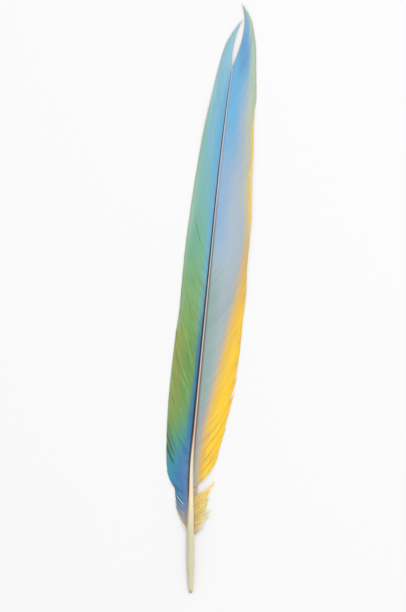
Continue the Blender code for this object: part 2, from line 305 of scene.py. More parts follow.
class Mesh:
    """Points, four-sided faces and the values kept on each of the points, gathered into one object."""

    def __init__(self, name):
        self.name = name
        self.points, self.faces, self.slots, self.maps = [], [], [], []
        self.values = {}
        self.count = 0

    def add(self, points, faces, slots, map_corners, **values):
        """points (n, 3), faces (m, 4), the material slot of each face, the corners of each face on the
        bake's map (m, 4, 2), and one number a point for each named value."""
        self.points.append(points)
        self.faces.append(faces + self.count)
        self.slots.append(np.broadcast_to(slots, len(faces)))
        self.maps.append(map_corners)
        for key, numbers in values.items():
            self.values.setdefault(key, []).append(np.broadcast_to(numbers, len(points)))
        self.count += len(points)

    def make(self, materials, offset):
        points = np.concatenate(self.points) * MM + offset
        faces = np.concatenate(self.faces)
        mesh = bpy.data.meshes.new(self.name)
        mesh.vertices.add(len(points))
        mesh.vertices.foreach_set("co", points.astype(np.float32).ravel())
        mesh.loops.add(faces.size)
        mesh.loops.foreach_set("vertex_index", faces.astype(np.int32).ravel())
        mesh.polygons.add(len(faces))
        mesh.polygons.foreach_set("loop_start", np.arange(0, faces.size, 4, dtype=np.int32))
        mesh.polygons.foreach_set("material_index", np.concatenate(self.slots).astype(np.int32))
        mesh.update(calc_edges=True)
        bake_map = mesh.uv_layers.new(name="OFBake")
        bake_map.data.foreach_set("uv", np.concatenate(self.maps).astype(np.float32).ravel())
        for key, numbers in self.values.items():
            attribute = mesh.attributes.new(key, "FLOAT", "POINT")
            attribute.data.foreach_set("value", np.concatenate(numbers).astype(np.float32))
        shape = bmesh.new()
        shape.from_mesh(mesh)
        bmesh.ops.recalc_face_normals(shape, faces=shape.faces)
        shape.to_mesh(mesh)
        shape.free()
        mesh.shade_smooth()
        for material in materials:
            mesh.materials.append(material)
        return placed(self.name, mesh)


UPPER, UNDER = 0, 1
# Where a barb's lower edge, ridge, upper edge and keel are in its row of the bake's map
ROW_PLACES = np.array([0.05, 0.5, 0.95, 0.5])


def add_barbs(mesh, lower, ridge, upper, keel, **values):
    """Closed four-sided barbs. Each argument has one row a barb: its lower edge, ridge, upper edge and keel.
    The bake's map has the upper faces on its left half and the under ones on its right, one row a barb."""
    barbs, places = ridge.shape[:2]
    points = np.stack([lower, ridge, upper, keel], axis=2)
    number = np.arange(barbs * places * 4).reshape(barbs, places, 4)
    faces, slots, maps = [], [], []
    along = np.linspace(0.0, 0.5, places)
    rows = np.arange(barbs) / barbs
    row_high = 1 / barbs
    for k, slot, start in ((0, UPPER, 0.0), (1, UPPER, 0.0), (2, UNDER, 0.5), (3, UNDER, 0.5)):
        after = (k + 1) % 4
        quads = np.stack(
            [number[:, :-1, k], number[:, 1:, k], number[:, 1:, after], number[:, :-1, after]], axis=-1
        )
        u = np.stack([along[:-1], along[1:], along[1:], along[:-1]], axis=-1)[None] + start
        v = rows[:, None, None] + row_high * ROW_PLACES[[k, k, after, after]]
        faces.append(quads.reshape(-1, 4))
        maps.append(np.stack(np.broadcast_arrays(u, v), axis=-1).reshape(-1, 4, 2))
        slots.append(np.full(len(faces[-1]), slot))
    for place, order in ((0, [0, 1, 2, 3]), (places - 1, [3, 2, 1, 0])):
        faces.append(number[:, place, order])
        u = np.full((barbs, 4), along[place])
        v = rows[:, None] + row_high * ROW_PLACES[order]
        maps.append(np.stack([u, v], axis=-1))
        slots.append(np.full(barbs, UPPER))
    every_point = points.shape[:3]
    spread = {
        key: np.broadcast_to(numbers[..., None], every_point).ravel() for key, numbers in values.items()
    }
    # The edges, which the material darkens with painted shade where the barbs meet
    edge = np.broadcast_to(np.array([1.0, 0.0, 1.0, 0.0]), every_point).ravel()
    mesh.add(
        points.reshape(-1, 3), np.concatenate(faces), np.concatenate(slots), np.concatenate(maps),
        edge=edge, **spread,
    )


def small_splits(vane, random):
    """Small partings near the margin, at random places along a vane."""
    splits = []
    place = vane.roots[0] + SMALL_SPLITS_EVERY / 2
    while place < vane.roots[1] - SMALL_SPLITS_EVERY:
        depth = random.uniform(*SMALL_SPLIT_DEPTH)
        gap = random.uniform(*SMALL_SPLIT_GAP)
        splits.append(Split(place, depth, gap, SMALL_SPLIT_FADE))
        place += random.uniform(*SMALL_SPLITS_SPREAD) * SMALL_SPLITS_EVERY
    return splits


def vane_mesh(name, vane, random):
    """One vane: its barbs lie side by side, each with its upper edge over the next one's lower edge."""
    first, last = vane.roots
    count = round((last - first) / BARB_PITCH)
    between = first + BARB_PITCH * np.arange(count + 1)
    splits = [
        split._replace(root=between[np.abs(between - split.root).argmin()])
        for split in (*vane.splits, *small_splits(vane, random))
    ]
    centres = (between[:-1] + between[1:]) / 2
    stretch = 1 + TIP_JITTER * random.uniform(-1, 1, count)[:, None]
    t = ALONG_BARB[None, :] * stretch
    lower = barb_rows(vane, between[:-1] + BESIDE_CUT, t, splits)
    ridge = barb_rows(vane, centres, t, splits)
    upper = barb_rows(vane, between[1:] - BESIDE_CUT, t, splits)
    width = np.interp(ALONG_BARB, [0, TIP_TAPER_START, 1], [1, 1, TIP_WIDTH])[None, :, None]
    width = width * (1 + EDGE_OVERLAP)
    lower, upper = ridge + (lower - ridge) * width, ridge + (upper - ridge) * width
    share = ALONG_BARB[None, :]
    ruffle = random.normal(0, RUFFLE, count)[:, None] * np.minimum(1, RUFFLE_RISE_RATE * share)
    keel = ridge.copy()
    keel[..., 2] += ruffle - (KEEL_DEPTH + (TIP_KEEL_DEPTH - KEEL_DEPTH) * share)
    lower[..., 2] += ruffle - EDGE_STEP
    upper[..., 2] += ruffle + EDGE_STEP
    ridge[..., 2] += ruffle + RIDGE_HEIGHT + (TIP_RIDGE_HEIGHT - RIDGE_HEIGHT) * share
    for layer in (lower, ridge, upper, keel):
        layer[:, 0, 0] -= vane.side * SINK
        layer[..., 2] = np.maximum(layer[..., 2], LEAST_VANE_HEIGHT)
    x, y = ridge[..., 0], ridge[..., 1]
    half = shaft_width(y) / 2
    across = (np.abs(x - shaft_x(y)) - half) / np.maximum(np.abs(vane.margin(y) - shaft_x(y)) - half, 1.0)
    mesh = Mesh(name)
    add_barbs(
        mesh, lower, ridge, upper, keel,
        across=across,
        along=y,
        root=np.broadcast_to(centres[:, None], y.shape),
        line=line_darkness(vane, centres, t),
        tone=np.broadcast_to(random.uniform(-1, 1, count)[:, None], y.shape),
    )
    return mesh


# Colours, as they look on a screen
def seen(red, green, blue):
    """A colour given from 0 to 255, as it looks on a screen, in the shader's linear values."""
    parts = np.array([red, green, blue]) / 255
    return (*np.where(parts <= 0.04045, parts / 12.92, ((parts + 0.055) / 1.055) ** 2.4), 1.0)


LEAF = seen(116, 162, 94)
LIME = seen(150, 174, 98)
OLIVE = seen(142, 150, 72)
MOSS = seen(96, 146, 84)
FERN = seen(78, 144, 78)
PALE_LEAF = seen(158, 196, 112)
SPRING = seen(126, 178, 120)
MINT = seen(122, 182, 152)
PALE_MINT = seen(154, 202, 172)
AQUA = seen(136, 192, 216)
PALE_AQUA = seen(166, 212, 212)
ICE = seen(162, 208, 224)
SKY = seen(112, 178, 216)
LAKE = seen(60, 126, 164)
TEAL = seen(66, 156, 146)
COBALT = seen(66, 130, 178)
DEEP_BLUE = seen(40, 96, 152)
TURQUOISE = seen(54, 152, 178)
PERIWINKLE = seen(108, 134, 176)
VIOLET_GREY = seen(132, 138, 158)
WARM_GREY = seen(158, 148, 134)
SILVER_BLUE = seen(174, 190, 204)
SILVER = seen(168, 184, 190)
MIST = seen(148, 174, 170)
STONE = seen(168, 170, 168)
SILVER_SKY = seen(148, 182, 212)
BRIGHT_SKY = seen(112, 180, 220)
DUSK_SKY = seen(104, 156, 204)
REED = seen(204, 204, 162)
PALE_REED = seen(182, 206, 188)
GOLD = seen(254, 209, 54)
MARGIN_GOLD = seen(255, 218, 104)
PALE_GOLD = seen(238, 200, 104)
BUFF = seen(206, 180, 144)
STRAW = seen(218, 204, 148)
TAN = seen(206, 172, 106)
DULL_GOLD = seen(226, 182, 62)
DULL_STRAW = seen(190, 164, 84)
DULL_TAN = seen(172, 146, 90)
LEMON = seen(252, 224, 106)
CREAM_FLUFF = seen(252, 246, 230)
TUFT_TAN = seen(216, 184, 114)
PRIMROSE = seen(254, 230, 128)
IVORY = seen(198, 192, 158)
CREAM = seen(226, 211, 181)
PEACH = seen(218, 172, 144)
ROSE_GREY = seen(196, 178, 170)
BLUE_GREY = seen(174, 174, 182)
SLATE = seen(40, 42, 50)
BROWN = seen(92, 68, 50)
HORN_GREY = seen(84, 86, 84)
# Umber: painted shadow in the slits, painted shade in the quill's hole, and the other dark lines along the
# barbs
SHADE_AND_LINE_UMBER = seen(52, 48, 36)
WHITE = seen(240, 244, 248)
PAPER = seen(227, 227, 227)


# Sockets of the node that mixes colours
MIX_SHARE, MIX_ONE, MIX_OTHER, MIX_RESULT = 0, 6, 7, 2


class Tree:
    """A material's node tree, built by short calls. A value is a socket or a plain number."""

    def __init__(self, name, roughness, sheen=0.0, specular=0.5):
        self.material = bpy.data.materials.new(name)
        self.material.use_nodes = True
        self.nodes, self.links = self.material.node_tree.nodes, self.material.node_tree.links
        self.shader = self.nodes["Principled BSDF"]
        self.shader.inputs["Roughness"].default_value = roughness
        self.shader.inputs["Sheen Weight"].default_value = sheen
        self.shader.inputs["Specular IOR Level"].default_value = specular

    def put(self, socket, value):
        if isinstance(value, bpy.types.NodeSocket):
            self.links.new(value, socket)
        else:
            socket.default_value = value

    def value(self, name):
        """A value that the mesh keeps on its points."""
        node = self.nodes.new("ShaderNodeAttribute")
        node.attribute_name = name
        return node.outputs["Fac"]

    def math(self, operation, *values):
        node = self.nodes.new("ShaderNodeMath")
        node.operation = operation
        for socket, value in zip(node.inputs, values):
            self.put(socket, value)
        return node.outputs[0]

    def times(self, one, other):
        return self.math("MULTIPLY", one, other)

    def plus(self, value, other, share):
        """The value plus a share of the other one."""
        return self.math("MULTIPLY_ADD", other, share, value)

    def step(self, value, start, end):
        """0 before start, 1 after end, and smooth between them."""
        node = self.nodes.new("ShaderNodeMapRange")
        node.interpolation_type = "SMOOTHSTEP"
        for name, number in (("Value", value), ("From Min", start), ("From Max", end)):
            self.put(node.inputs[name], number)
        return node.outputs[0]

    def band(self, value, rise, fall):
        """1 between the rise and the fall, each a pair of places, or None for none."""
        mask = 1.0 if rise is None else self.step(value, *rise)
        if fall is None:
            return mask
        return self.times(mask, self.math("SUBTRACT", 1.0, self.step(value, *fall)))

    def noise(self, across, along, scale, detail=2.0):
        """Noise of about -1 to 1 on two coordinates."""
        place = self.nodes.new("ShaderNodeCombineXYZ")
        self.put(place.inputs[0], across)
        self.put(place.inputs[1], along)
        node = self.nodes.new("ShaderNodeTexNoise")
        node.noise_dimensions = "2D"
        node.inputs["Scale"].default_value = scale
        node.inputs["Detail"].default_value = detail
        self.links.new(place.outputs[0], node.inputs["Vector"])
        return self.math("MULTIPLY_ADD", node.outputs["Fac"], 2.0, -1.0)

    def mix(self, one, other, share, *more_shares):
        """One colour with the other over it, by the product of the shares."""
        for more in more_shares:
            share = self.times(share, more)
        node = self.nodes.new("ShaderNodeMix")
        node.data_type = "RGBA"
        for number, value in ((MIX_SHARE, share), (MIX_ONE, one), (MIX_OTHER, other)):
            self.put(node.inputs[number], value)
        return node.outputs[MIX_RESULT]

    def brightened(self, colour, amount):
        """The colour times one plus the amount."""
        node = self.nodes.new("ShaderNodeVectorMath")
        node.operation = "SCALE"
        self.put(node.inputs[0], colour)
        self.put(node.inputs["Scale"], self.math("ADD", amount, 1.0))
        return node.outputs[0]

    def bump(self, height, strength, distance):
        node = self.nodes.new("ShaderNodeBump")
        node.inputs["Strength"].default_value = strength
        node.inputs["Distance"].default_value = distance
        self.put(node.inputs["Height"], height)
        self.links.new(node.outputs[0], self.shader.inputs["Normal"])

    def finish(self, colour):
        self.put(self.shader.inputs["Base Color"], colour)
        return self.material


# A wash of colour over part of a vane. along: from where to where it comes in, and where it goes out, in
# millimetres from the quill's end; across: the same in shares of the vane's width, from the shaft (0) to the
# margin (1); slant: how many millimetres lower its bounds are at the margin than at the shaft
EVERYWHERE = (None, None)
Wash = namedtuple("Wash", "colour along across slant strength", defaults=(EVERYWHERE, EVERYWHERE, 0.0, 1.0))

LEFT_WASHES = [
    Wash(LIME, (None, (180, 230)), ((0.5, 0.95), None)),
    Wash(OLIVE, ((112, 132), (176, 204)), ((0.45, 0.66), (0.78, 0.98)), 0, 0.5),
    Wash(MOSS, ((128, 146), (166, 186)), ((0.12, 0.25), (0.4, 0.55)), 0, 0.5),
    Wash(SPRING, ((162, 206), None)),
    Wash(MINT, ((190, 245), None)),
    Wash(AQUA, ((222, 326), None)),
    Wash(PALE_MINT, ((226, 262), (320, 356)), ((0.6, 1.0), None), 0, 0.85),
    Wash(PALE_AQUA, ((312, 346), None), ((0.6, 1.0), None), 0, 0.85),
    Wash(SKY, ((222, 316), (322, 362)), (None, (0.16, 0.5)), 0, 0.8),
    Wash(SKY, ((158, 206), (330, 372)), (None, (0.08, 0.28)), 0, 0.85),
    Wash(ICE, ((336, 384), None), (None, None), 0, 0.75),
    Wash(WHITE, ((166, 192), (250, 300)), ((0.76, 0.95), None), 0, 0.14),
    Wash(TEAL, (None, (108, 144)), (None, None), 30, 0.9),
]
# These go over the green blotches
LEFT_LOW_WASHES = [
    Wash(LAKE, (None, (158, 216)), (None, (0.05, 0.22)), 0, 0.95),
    Wash(LAKE, (None, (116, 150)), (None, (0.1, 0.32)), 0, 0.7),
    Wash(COBALT, (None, (97, 120)), (None, None), 30),
    Wash(TURQUOISE, ((70, 84), (92, 108)), ((0.45, 0.75), None), 0, 0.75),
    Wash(FERN, ((84, 98), (110, 130)), ((0.55, 0.9), None), 0, 0.6),
    Wash(PERIWINKLE, ((58, 66), (84, 98)), (None, (0.12, 0.4)), 0, 0.6),
    Wash(VIOLET_GREY, (None, (56, 68)), (None, None), 10, 0.95),
    Wash(WARM_GREY, (None, (46, 60)), (None, None), 0, 0.8),
]
RIGHT_WASHES = [
    Wash(SILVER, (None, (190, 240))),
    Wash(MIST, (None, (198, 236)), (None, (0.1, 0.45)), 0, 0.9),
    Wash(STONE, (None, (104, 140))),
    Wash(SILVER_SKY, ((212, 254), None), (None, (0.14, 0.5))),
    Wash(REED, ((232, 282), None), ((0.56, 1.0), None)),
    Wash(PALE_REED, ((306, 344), None), ((0.5, 0.95), None)),
    Wash(SILVER_SKY, ((272, 312), None), (None, (0.3, 0.8))),
    Wash(BRIGHT_SKY, ((276, 336), None), (None, (0.2, 0.6))),
    Wash(BRIGHT_SKY, ((330, 368), None), (None, (0.5, 0.9)), 0, 0.9),
    Wash(DUSK_SKY, ((346, 368), (372, 392)), ((0.1, 0.35), (0.5, 0.8)), 0, 0.7),
    Wash(PALE_GOLD, ((205, 225), (262, 300)), ((0.76, 0.98), None), 0, 0.75),
    Wash(MARGIN_GOLD, ((205, 225), (310, 350)), ((0.91, 0.97), None), 0, 0.95),
    Wash(REED, ((320, 340), (352, 376)), ((0.9, 0.98), None), 0, 0.8),
]
# The golden margin: it starts at a share of the vane's width that rises ever faster up the feather
GOLD_START, GOLD_RISE, GOLD_POWER, GOLD_SOFT = 0.22, 0.66, 1.25, 0.12
GOLD_FROM, GOLD_TO = 85.0, 226.0
GOLD_END = (236, 276)
BUFF_LEAD = 0.1
# Blotches: how many to a millimetre from barb to barb and along a barb, and then the colour, place in the
# noise and strength of each, and where along the feather they come in and go out
BLOTCHES_ACROSS, BLOTCHES_ALONG = 0.22, 0.06
GREEN_BLOTCHES = ((OLIVE, 6.0, 0.65), (MOSS, 11.0, 0.45), (PALE_LEAF, 17.0, 0.4))
GREEN_STRETCH = ((104, 132), (196, 250))
BLUE_BLOTCHES = ((DEEP_BLUE, 23.0, 0.5), (PERIWINKLE, 29.0, 0.3))
BLUE_STRETCH = ((50, 62), (98, 122))
GOLD_BLOTCHES = ((TAN, 6.0, 0.4), (LEMON, 17.0, 0.35))
GOLD_STRETCH = (None, (200, 240))
# Changes from barb to barb: a row of the noise, its waves to a millimetre, how much they change, and detail
BROAD_STREAK = (0.0, 0.35, 8.0)
FINE_STREAK = (5.0, 1.6, 2.5, 1.0)
CROSS_STREAK = (9.0, 0.5, 0.045)
CLUMP_TONE = (2.0, 1.1, 0.09)
TUFT_CLUMP_TONE = (1.0, 0.9, 0.14)
# How much a barb and a patch differ in tone, how much painted shade darkens a barb's edges, and the patches'
# waves to a millimetre
BARB_TONE, PATCH_TONE, EDGE_SHADE = 0.035, 0.05, -0.06
PATCH_WAVES, PATCH_WAVES_ALONG = 0.3, 0.05
GRAIN_ACROSS, GRAIN_ALONG, GRAIN_DETAIL = 3.0, 6.0, 3.0
GRAIN_STRENGTH, GRAIN_HEIGHT = 0.25, 0.00008


def varied(tree, value, row, waves, amount, detail=2.0):
    """The value, changed up to this amount from barb to barb."""
    return tree.plus(value, tree.noise(tree.value("root"), row, waves, detail), amount)


def streaked(tree):
    """The two coordinates of a vane, shifted a little from barb to barb, so that colours end in streaks."""
    along = varied(tree, varied(tree, tree.value("along"), *BROAD_STREAK), *FINE_STREAK)
    return along, varied(tree, tree.value("across"), *CROSS_STREAK)


def painted(tree, colour, washes, along, across):
    """The colour with each wash laid over it in turn."""
    for wash in washes:
        place = tree.plus(along, across, wash.slant) if wash.slant else along
        bands = tree.band(place, *wash.along), tree.band(across, *wash.across)
        colour = tree.mix(colour, wash.colour, *bands, wash.strength)
    return colour


def mottled(tree, colour, along, blotches, stretch):
    """The colour with blotches on it, each a few barbs wide and a few centimetres long."""
    root = tree.times(tree.value("root"), BLOTCHES_ACROSS)
    run = tree.times(tree.value("along"), BLOTCHES_ALONG)
    for blotch, place, strength in blotches:
        noise = tree.noise(tree.math("ADD", root, place), run, 1.0)
        colour = tree.mix(colour, blotch, tree.step(noise, 0.0, 0.5), tree.band(along, *stretch), strength)
    return colour


def inside_gold(tree, along, across):
    """How far inside the golden margin a place is, in shares of the vane's width."""
    climb = tree.math("DIVIDE", tree.math("SUBTRACT", along, GOLD_FROM), GOLD_TO - GOLD_FROM)
    climb = tree.math("POWER", tree.math("MAXIMUM", climb, 0.0), GOLD_POWER)
    return tree.math("SUBTRACT", across, tree.plus(GOLD_START, climb, GOLD_RISE))


def barb_finish(tree, colour):
    """Small changes from barb to barb, painted shade along their edges, the lines between them, the dark
    ones painted shadow where they follow a split, and the grain of the barbules.
    """
    root, along, line = tree.value("root"), tree.value("along"), tree.value("line")
    tone = varied(tree, tree.times(tree.value("tone"), BARB_TONE), *CLUMP_TONE)
    patches = tree.noise(root, tree.times(along, PATCH_WAVES_ALONG), PATCH_WAVES)
    # Painted shade along each barb's edges, where it meets the next
    tone = tree.plus(tree.plus(tone, patches, PATCH_TONE), tree.value("edge"), EDGE_SHADE)
    colour = tree.brightened(colour, tone)
    # The lines' dark parts in umber: painted shadow where they follow a split
    colour = tree.mix(colour, SHADE_AND_LINE_UMBER, tree.math("MAXIMUM", line, 0.0))
    colour = tree.mix(colour, WHITE, tree.math("MAXIMUM", tree.times(line, -1.0), 0.0))
    grain = tree.noise(tree.times(root, GRAIN_ACROSS), tree.times(along, GRAIN_ALONG), 1.0, GRAIN_DETAIL)
    tree.bump(grain, GRAIN_STRENGTH, GRAIN_HEIGHT)
    return tree.finish(colour)


# The left vane's lowest barbs turn tan: at which roots, and how much
LOWEST_ROOTS, LOWEST_TAN = (47.5, 44.5), 0.6


def left_vane_material():
    tree = Tree("left_vane_upper", roughness=0.5, sheen=0.15, specular=0.3)
    along, across = streaked(tree)
    colour = painted(tree, LEAF, LEFT_WASHES, along, across)
    colour = mottled(tree, colour, along, GREEN_BLOTCHES, GREEN_STRETCH)
    colour = painted(tree, colour, LEFT_LOW_WASHES, along, across)
    colour = mottled(tree, colour, along, BLUE_BLOTCHES, BLUE_STRETCH)
    lowest = tree.step(tree.value("root"), *LOWEST_ROOTS)
    return barb_finish(tree, tree.mix(colour, TAN, lowest, LOWEST_TAN))


# Where the gold changes, and how much
GOLD_PALES, GOLD_TURNS_STRAW = (180, 230), (225, 262)
LOW_TAN_ALONG, LOW_TAN_ACROSS, LOW_TAN = (118, 92), (0.62, 0.3), 0.6
INNER_TAN_INSIDE, INNER_TAN = (0.3, 0.1), 0.4
BUFF_STRENGTH = 0.6


def right_vane_material():
    tree = Tree("right_vane_upper", roughness=0.5, sheen=0.15, specular=0.3)
    along, across = streaked(tree)
    colour = painted(tree, SILVER_BLUE, RIGHT_WASHES, along, across)
    gold = tree.mix(GOLD, PALE_GOLD, tree.step(along, *GOLD_PALES))
    gold = tree.mix(gold, STRAW, tree.step(along, *GOLD_TURNS_STRAW))
    low = tree.step(along, *LOW_TAN_ALONG)
    gold = tree.mix(gold, TAN, low, tree.step(across, *LOW_TAN_ACROSS), LOW_TAN)
    gold = mottled(tree, gold, along, GOLD_BLOTCHES, GOLD_STRETCH)
    inside = inside_gold(tree, along, across)
    gold = tree.mix(gold, TAN, tree.step(inside, *INNER_TAN_INSIDE), INNER_TAN)
    stretch = tree.band(along, None, GOLD_END)
    buff = tree.step(inside, -GOLD_SOFT - BUFF_LEAD, 0.0)
    colour = tree.mix(colour, BUFF, buff, stretch, BUFF_STRENGTH)
    colour = tree.mix(colour, gold, tree.step(inside, -GOLD_SOFT, GOLD_SOFT), stretch)
    return barb_finish(tree, colour)


def vane_under_material():
    """The underside is golden from end to end, duller towards the tip and tan beside the shaft."""
    tree = Tree("vane_under", roughness=0.45, sheen=0.1, specular=0.35)
    along, across = streaked(tree)
    colour = tree.mix(DULL_GOLD, DULL_STRAW, tree.step(along, 240, 380))
    return barb_finish(tree, tree.mix(colour, DULL_TAN, tree.band(across, None, (0.0, 0.25))))


def eased(share):
    """A share from 0 to 1 that leaves 0 and reaches 1 smoothly."""
    return share * share * (3 - 2 * share)


# Shaft's mesh
SHAFT_STATIONS, SHAFT_SIDES = 300, 40
# How its stations crowd at the quill's end: two powers of their share, and the first one's weight
EARLY_POWER, LATE_POWER, EARLY_WEIGHT = 0.75, 1.25, 0.12
GROOVE_START, GROOVE_FULL = 58.0, 80.0
GROOVE_DEPTH, GROOVE_WIDTH = 0.22, 0.42
ROUND_TO, SQUARE_FROM = 40, 90
ROUND, SQUARENESS = 2.0, 2.35
HOLE_STATIONS, HOLE_DEPTH, HOLE_RADIUS, HOLE_LEAST = 6, 5.0, 0.38, 0.003
POINT_LENGTH, POINT_HEIGHT, POINT_SHARE = 0.35, 0.3, 0.1


def shaft_mesh():
    """The quill and shaft: round at the quill, more square above, with a groove underneath, and a small
    hole in the quill's end."""
    shares = np.linspace(0, 1, SHAFT_STATIONS)
    ys = SHAFT_END * (EARLY_WEIGHT * shares**EARLY_POWER + (1 - EARLY_WEIGHT) * shares**LATE_POWER)
    angles = np.linspace(0, 2 * math.pi, SHAFT_SIDES, endpoint=False)
    cos, sin = np.cos(angles)[None, :], np.sin(angles)[None, :]
    square = np.interp(ys, [ROUND_TO, SQUARE_FROM], [ROUND, SQUARENESS])[:, None]
    radius = (np.abs(cos) ** square + np.abs(sin) ** square) ** (-1 / square)
    half_wide, half_high = shaft_width(ys)[:, None] / 2, shaft_height(ys)[:, None] / 2
    groove = eased(np.clip((ys - GROOVE_START) / (GROOVE_FULL - GROOVE_START), 0, 1))[:, None]
    hollow = np.exp(-((cos * radius / GROOVE_WIDTH) ** 2)) * (sin < 0) * GROOVE_DEPTH * groove
    x = shaft_x(ys)[:, None] + half_wide * radius * cos
    z = underside(ys)[:, None] + half_high * (1 + radius * sin + hollow)
    y = np.broadcast_to(ys[:, None], x.shape)
    outer = np.stack([x, y, z], axis=-1)
    inner_ys = np.linspace(0, HOLE_DEPTH, HOLE_STATIONS)
    narrow = HOLE_RADIUS * np.sqrt(np.clip(1 - (inner_ys / HOLE_DEPTH) ** 2, HOLE_LEAST, 1))[:, None]
    ix = shaft_x(inner_ys)[:, None] + narrow * cos
    iz = (underside(inner_ys) + shaft_height(inner_ys) / 2)[:, None] + narrow * sin
    inner = np.stack([ix, np.broadcast_to(inner_ys[:, None], ix.shape), iz], axis=-1)[::-1]
    lip = (outer[0] + inner[-1]) / 2
    point_y = SHAFT_END + POINT_LENGTH
    point = np.array([float(shaft_x(point_y)), point_y, float(underside(point_y)) + POINT_HEIGHT])
    end = point + (outer[-1] - outer[-1].mean(0)) * POINT_SHARE
    rings = np.concatenate([inner, lip[None], outer, end[None]])
    count = len(rings)
    number = np.arange(count * SHAFT_SIDES).reshape(count, SHAFT_SIDES)
    after = np.roll(number, -1, axis=1)
    quads = np.stack([number[:-1], after[:-1], after[1:], number[1:]], axis=-1).reshape(-1, 4)
    u = np.arange(SHAFT_SIDES + 1) / SHAFT_SIDES
    v = np.linspace(0, 1, count)
    corner_u = np.stack([u[:-1], u[1:], u[1:], u[:-1]], axis=-1)[None]
    corner_v = np.stack([v[:-1], v[:-1], v[1:], v[1:]], axis=-1)[:, None]
    maps = np.stack(np.broadcast_arrays(corner_u, corner_v), axis=-1).reshape(-1, 4, 2)
    side, top = (np.concatenate([np.tile(k, (len(inner) + 1, 1)), radius * k, k]) for k in (cos, sin))
    # Marks the hole's rings, which the material paints with shade
    depth = np.zeros(count)
    depth[:len(inner)] = 1.0
    mesh = Mesh("shaft")
    mesh.add(
        rings.reshape(-1, 3), quads, 0, maps,
        side=side.ravel(),
        top=top.ravel(),
        along=rings[..., 1].ravel(),
        inside=np.repeat(depth, SHAFT_SIDES),
    )
    close_ends(mesh, number)
    return mesh


def close_ends(mesh, number):
    """Closes the first and last rings of a tube, each with a strip of four-sided faces."""
    sides = number.shape[1]
    k = np.arange(sides // 2 - 1)
    for ring in (number[0], number[-1]):
        faces = np.stack([ring[k], ring[k + 1], ring[sides - 2 - k], ring[sides - 1 - k]], axis=-1)
        mesh.faces.append(faces)
        mesh.slots.append(np.zeros(len(faces), int))
        mesh.maps.append(np.full((len(faces), 4, 2), 0.5))


# Horn: places along it, and on its side from -1 (left) to 1 (right)
HORN_SHADES = [(CREAM, (36, 66)), (PEACH, (84, 112)), (ROSE_GREY, (116, 180)), (BLUE_GREY, (220, 300))]
# Its streaks: how close they lie across and along it, and their detail
BROAD_HORN, FINE_HORN = (4.0, 0.06, 4.0), (14.0, 0.2, 3.0)
BROAD_TONE, FINE_TONE, HORN_WAVES, SIDE_SHIFT = 0.16, 0.08, 2.0, 0.1
# Dark lines down its flanks, painted shade where the round shaft turns from the light: where on its side,
# where along it, and their strength
HORN_SHADE_LINES = [
    (HORN_GREY, (0.34, 0.6), ((60, 112), (236, 290)), 0.9),
    (BROWN, (-0.32, -0.54), ((44, 72), None), 1.0),
]
SLATE_SIDE, SLATE_RISE = (0.04, -0.24), (84, 114)
SLATE_WEAKENS, SLATE_LOSS = (230, 350), -0.4
TIP_TAN = (SHAFT_END - 4, SHAFT_END - 1)
UNDER_IVORY, UNDER_IVORY_STRENGTH = (-0.2, -0.7), 0.6
QUILL_BROWN, QUILL_BROWN_STRENGTH = (3.0, 0.0), 0.5
HORN_BUMP, HORN_BUMP_HEIGHT = 0.3, 0.0001


def shaft_material():
    """Horn: ivory at the quill, peach and then rose grey above, with a dark line of painted shade down each
    flank, the left one partly the horn's own dark, and painted shade in the quill's hole.
    """
    tree = Tree("shaft_horn", roughness=0.34, specular=0.45)
    side, along, top = tree.value("side"), tree.value("along"), tree.value("top")
    broad, fine = (
        tree.noise(tree.times(side, across), tree.times(along, run), HORN_WAVES, detail)
        for across, run, detail in (BROAD_HORN, FINE_HORN)
    )
    colour = IVORY
    for shade, rise in HORN_SHADES:
        colour = tree.mix(colour, shade, tree.step(along, *rise))
    colour = tree.brightened(colour, tree.plus(tree.times(fine, FINE_TONE), broad, BROAD_TONE))
    shifted = tree.plus(side, broad, SIDE_SHIFT)
    # Painted shade down both flanks
    for shade, flank, stretch, strength in HORN_SHADE_LINES:
        colour = tree.mix(colour, shade, tree.step(shifted, *flank), tree.band(along, *stretch), strength)
    # The dark left flank: partly the horn's own dark colour, partly painted shade on the side away from the
    # light
    slate = tree.step(shifted, *SLATE_SIDE)
    weaker = tree.plus(1.0, tree.step(along, *SLATE_WEAKENS), SLATE_LOSS)
    colour = tree.mix(colour, SLATE, slate, tree.step(along, *SLATE_RISE), weaker)
    colour = tree.mix(colour, TAN, tree.step(along, *TIP_TAN))
    colour = tree.mix(colour, IVORY, tree.step(top, *UNDER_IVORY), UNDER_IVORY_STRENGTH)
    # Painted shade inside the hole in the quill's end
    colour = tree.mix(colour, SHADE_AND_LINE_UMBER, tree.value("inside"))
    colour = tree.mix(colour, BROWN, tree.step(along, *QUILL_BROWN), QUILL_BROWN_STRENGTH)
    tree.bump(tree.math("ADD", broad, fine), HORN_BUMP, HORN_BUMP_HEIGHT)
    return tree.finish(colour)


# Tuft and down
TUFT_PITCH, TUFT_JITTER = 0.5, 0.4
TUFT_PLACES, DOWN_PLACES = 14, 12
TUFT_STRETCH, TUFT_SCATTER, TUFT_LIFT = (0.78, 1.1), (0.5, 0.8), (-0.5, 0.6)
TUFT_LEAST_HEIGHT = 0.15
DOWN_HEIGHTS, DOWN_DROPS = (0.3, 0.6), (0.3, 0.8)
# Half widths and half thicknesses: shares of a barb's length, and the size at each
TUFT_WIDE = ((0, 0.15, 0.6, 1), (0.2, 0.28, 0.2, 0.04))
TUFT_THICK = ((0, 1), (0.14, 0.04))
DOWN_WIDE = ((0, 1), (0.11, 0.04))
TUFT_SPLITS = [
    Split(43, 0.6, 0.9, 1.5), Split(48, 0.6, 1.3, 2.5), Split(53, 0.5, 0.7, 1.5), Split(58, 0.6, 1.4, 2.5),
]
